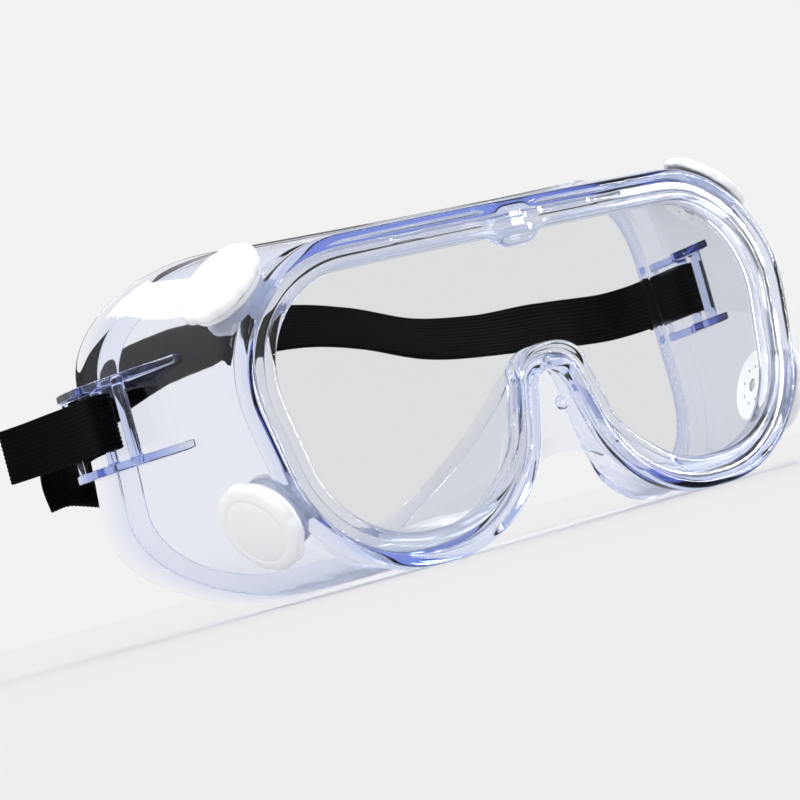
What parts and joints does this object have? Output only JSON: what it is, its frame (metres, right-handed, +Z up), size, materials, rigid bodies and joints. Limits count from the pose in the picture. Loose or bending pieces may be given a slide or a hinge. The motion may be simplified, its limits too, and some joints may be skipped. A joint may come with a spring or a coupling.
{
  "type": "safety goggles",
  "caption": "Clear splash goggles with a soft one-piece body, curved lens, round white indirect vents and a black ribbed elastic strap held in three-bar lugs.",
  "frame": {"origin": "on the surface the goggles stand on, in the middle of their width, under the front of the lens frame", "axes": "+X across the face from left to right as seen from the front, +Y from the lens towards the wearer, +Z up"},
  "size_m": [0.1914, 0.0961, 0.0843],
  "materials": {
    "clear_pvc": "soft clear PVC with a faint blue tint in thick edges, glossy",
    "clear_lens": "clear polycarbonate, polished",
    "clear_lug": "clear moulded plastic with a blue tint, glossy",
    "white_vent": "white moulded plastic, satin",
    "black_elastic": "woven elastic band with fine lengthwise ribs"
  },
  "bodies": {
    "goggles": {"goggle_body": "clear_pvc", "lens": "clear_lens", "strap": "black_elastic", "strap_lug_left": "clear_lug", "strap_lug_right": "clear_lug", "vent_seat_upper_left": "white_vent", "vent_seat_upper_right": "white_vent", "vent_seat_lower_left": "white_vent", "vent_seat_lower_right": "white_vent"},
    "vent_cap_upper_left": {"vent_cap_upper_left": "white_vent"},
    "vent_cap_upper_right": {"vent_cap_upper_right": "white_vent"},
    "vent_cap_lower_left": {"vent_cap_lower_left": "white_vent"},
    "vent_cap_lower_right": {"vent_cap_lower_right": "white_vent"}
  },
  "joints": [
    {"name": "pull_cap_upper_left", "type": "slide", "parent": "goggles", "child": "vent_cap_upper_left", "axis": [-0.6622, -0.2392, 0.7101], "range_m": [0, 0.008]},
    {"name": "pull_cap_upper_right", "type": "slide", "parent": "goggles", "child": "vent_cap_upper_right", "axis": [0.6622, -0.2392, 0.7101], "range_m": [0, 0.008]},
    {"name": "pull_cap_lower_left", "type": "slide", "parent": "goggles", "child": "vent_cap_lower_left", "axis": [-0.896, -0.1952, -0.3989], "range_m": [0, 0.008]},
    {"name": "pull_cap_lower_right", "type": "slide", "parent": "goggles", "child": "vent_cap_lower_right", "axis": [0.896, -0.1952, -0.3989], "range_m": [0, 0.008]}
  ]
}
